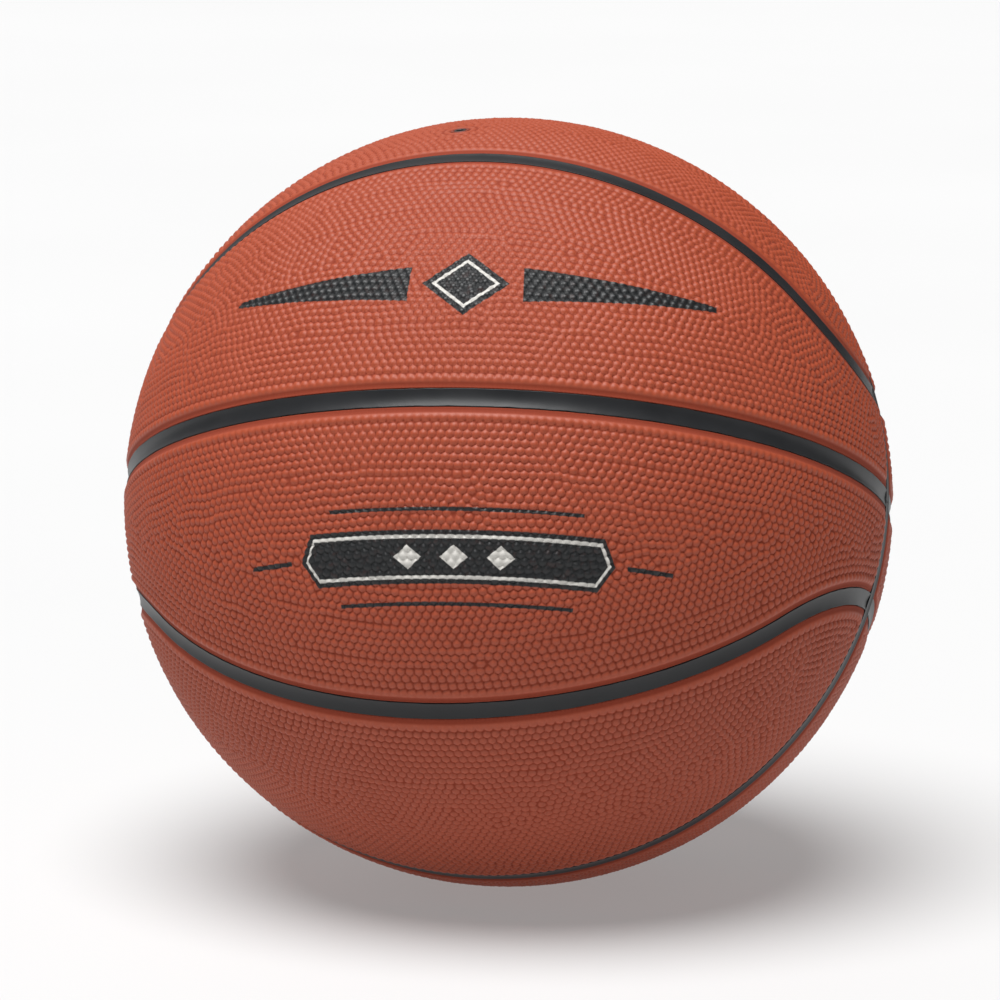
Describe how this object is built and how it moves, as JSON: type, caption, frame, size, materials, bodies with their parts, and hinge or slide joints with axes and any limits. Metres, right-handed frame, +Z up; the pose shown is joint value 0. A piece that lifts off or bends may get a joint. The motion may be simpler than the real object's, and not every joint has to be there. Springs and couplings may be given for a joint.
{
  "type": "basketball",
  "caption": "Full size pebbled rubber basketball with deep black channels, a wound layered wall and a needle valve.",
  "frame": {"origin": "the ball's centre", "axes": "+Z up as the ball lies, with the valve near the top; -Y towards the viewer of the picture. The ball touches the floor at the lowest point of one panel, one radius below the origin."},
  "size_m": [0.24, 0.24, 0.24],
  "materials": {
    "cover_rubber": "orange-brown moulded rubber with close round pebbles, satin",
    "channel_rubber": "smooth black rubber, satin",
    "carcass_rubber": "dull dark brown calendered rubber",
    "wound_thread": "off-white nylon thread, wound in every direction and dipped in latex",
    "bladder_rubber": "dull black butyl rubber with a trace of talc",
    "valve_rubber": "dull black moulded rubber",
    "plug_rubber": "soft brown rubber"
  },
  "bodies": {
    "ball": {"bladder": "bladder_rubber", "bladder_patch": "bladder_rubber", "valve_housing": "valve_rubber", "thread_winding": "wound_thread", "carcass": "carcass_rubber", "channel_cross_upper": "channel_rubber", "channel_cross_lower": "channel_rubber", "channel_middle_front": "channel_rubber", "channel_middle_back": "channel_rubber", "channel_loop_upper_front": "channel_rubber", "channel_loop_upper_back": "channel_rubber", "channel_loop_lower_front": "channel_rubber", "channel_loop_lower_back": "channel_rubber", "panel_upper_front_inner": "cover_rubber", "panel_upper_front_outer": "cover_rubber", "panel_upper_back_inner": "cover_rubber", "panel_upper_back_outer": "cover_rubber", "panel_lower_front_inner": "cover_rubber", "panel_lower_front_outer": "cover_rubber", "panel_lower_back_inner": "cover_rubber", "panel_lower_back_outer": "cover_rubber"},
    "valve_plug": {"valve_plug": "plug_rubber"}
  },
  "joints": [
    {"name": "valve_plug_slide", "type": "slide", "parent": "ball", "child": "valve_plug", "axis": [-0.126, -0.0995, 0.987], "range_m": [0, 0.018]}
  ]
}
